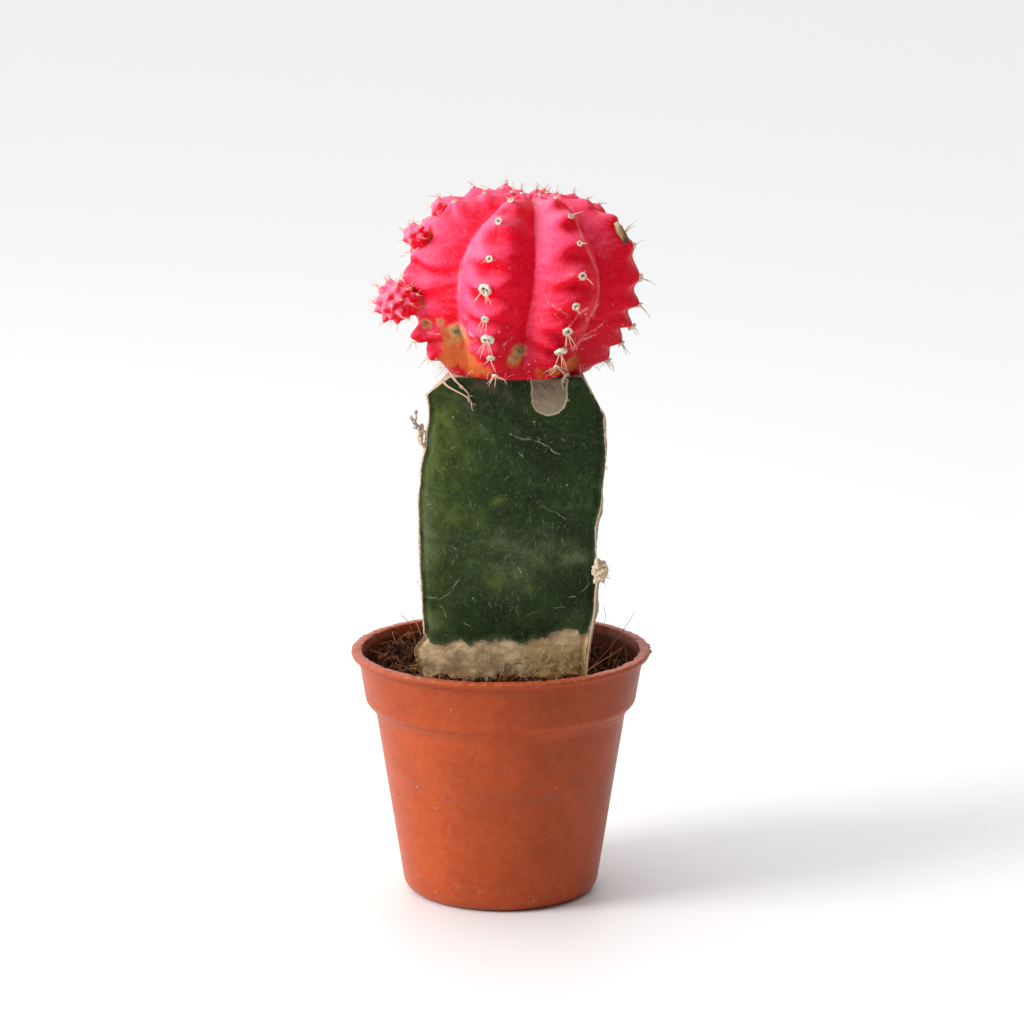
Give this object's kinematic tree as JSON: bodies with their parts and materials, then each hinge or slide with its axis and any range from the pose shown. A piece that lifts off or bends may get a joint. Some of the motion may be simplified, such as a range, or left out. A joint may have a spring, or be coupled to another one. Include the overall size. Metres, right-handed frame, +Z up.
{
  "type": "potted moon cactus",
  "caption": "Grafted cactus: a ribbed round pink-red head with small offsets on a three-sided green rootstock, planted in a small round plastic nursery pot.",
  "frame": {"origin": "centre of the pot's foot, on the surface that the pot stands on", "axes": "+Z up the plant; -Y out of the rootstock's broad face, with its third rib towards +Y"},
  "size_m": [0.055, 0.055, 0.1331],
  "materials": {
    "pot_plastic": "satin injection-moulded plastic, terracotta coloured",
    "potting_mix": "loose coir and peat, matt",
    "rootstock_skin": "waxy dark green cactus skin",
    "head_skin": "smooth fleshy pink to red cactus skin"
  },
  "bodies": {
    "root": {"pot": "pot_plastic", "soil": "potting_mix", "rootstock": "rootstock_skin", "moon_cactus_head": "head_skin"}
  },
  "joints": []
}
